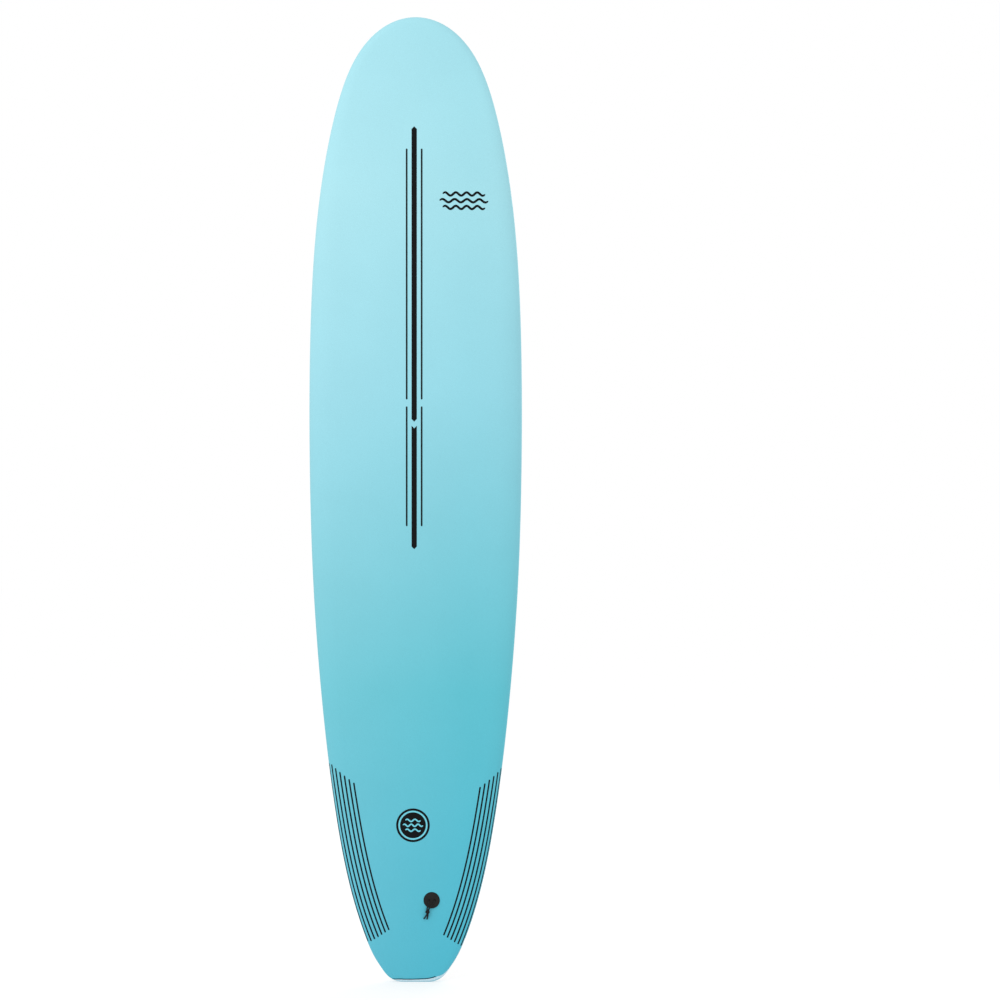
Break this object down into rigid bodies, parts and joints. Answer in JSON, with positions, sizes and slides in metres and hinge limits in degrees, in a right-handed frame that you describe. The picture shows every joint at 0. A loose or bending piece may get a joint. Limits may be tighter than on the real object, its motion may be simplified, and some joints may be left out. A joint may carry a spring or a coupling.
{
  "type": "longboard surfboard",
  "caption": "Soft-top longboard with a foam deck wrapped over its rails, a slick bottom, stringers, empty fin boxes with grub screws, and a leash plug with a knotted cord loop.",
  "frame": {"origin": "middle of the flat tail end face, with the board standing on its tail", "axes": "+Z towards the nose, +X to the right as seen from the deck side, +Y out of the bottom, so the deck faces -Y"},
  "size_m": [0.6098, 0.144, 2.7432],
  "materials": {
    "deck_foam": "fine-grained closed-cell foam sheet, pale sky blue, matte",
    "slick": "smooth off-white sheet, satin",
    "bead_foam": "moulded white bead foam",
    "plywood": "sanded plywood",
    "nylon": "black moulded nylon, satin",
    "screw_steel": "dark stainless steel",
    "cord": "braided black polyester cord"
  },
  "bodies": {
    "board": {"deck_skin_tail": "deck_foam", "deck_skin_middle": "deck_foam", "deck_skin_nose": "deck_foam", "bottom_skin": "slick", "core_left_outer": "bead_foam", "core_left_inner": "bead_foam", "core_right_inner": "bead_foam", "core_right_outer": "bead_foam", "stringer_left": "plywood", "stringer_centre": "plywood", "stringer_right": "plywood", "fin_box_left": "nylon", "fin_box_centre": "nylon", "fin_box_right": "nylon", "leash_plug": "nylon", "leash_string_anchor": "cord"},
    "leash_string": {"leash_string_left": "cord", "leash_string_right": "cord", "leash_string_knot": "cord", "leash_string_tail_left": "cord", "leash_string_tail_right": "cord"},
    "leash_cap": {"leash_plug_cap": "nylon"},
    "screw_left_rear": {"fin_screw_left_rear": "screw_steel"},
    "screw_left_front": {"fin_screw_left_front": "screw_steel"},
    "screw_centre_rear": {"fin_screw_centre_rear": "screw_steel"},
    "screw_centre_front": {"fin_screw_centre_front": "screw_steel"},
    "screw_right_rear": {"fin_screw_right_rear": "screw_steel"},
    "screw_right_front": {"fin_screw_right_front": "screw_steel"}
  },
  "joints": [
    {"name": "leash_string_swing", "type": "hinge", "parent": "board", "child": "leash_string", "pos_m": [0.0455, -0.01798, 0.23433], "axis": [-1, 0, 0], "range_deg": [0, 160]},
    {"name": "leash_cap_turn", "type": "hinge", "parent": "board", "child": "leash_cap", "pos_m": [0.0455, 0.03297, 0.22997], "axis": [0, 0.9964, -0.0852], "continuous": true},
    {"name": "screw_left_rear_drive", "type": "slide", "parent": "board", "child": "screw_left_rear", "axis": [-0.3419, -0.9374, 0.0667], "range_m": [0, 0.0024]},
    {"name": "screw_left_front_drive", "type": "slide", "parent": "board", "child": "screw_left_front", "axis": [-0.3419, -0.9374, 0.0667], "range_m": [0, 0.0024]},
    {"name": "screw_centre_rear_drive", "type": "slide", "parent": "board", "child": "screw_centre_rear", "axis": [-0.342, -0.9362, 0.0809], "range_m": [0, 0.0024]},
    {"name": "screw_centre_front_drive", "type": "slide", "parent": "board", "child": "screw_centre_front", "axis": [0.342, -0.9362, 0.0809], "range_m": [0, 0.0024]},
    {"name": "screw_right_rear_drive", "type": "slide", "parent": "board", "child": "screw_right_rear", "axis": [0.3419, -0.9374, 0.0667], "range_m": [0, 0.0024]},
    {"name": "screw_right_front_drive", "type": "slide", "parent": "board", "child": "screw_right_front", "axis": [0.3419, -0.9374, 0.0667], "range_m": [0, 0.0024]}
  ]
}
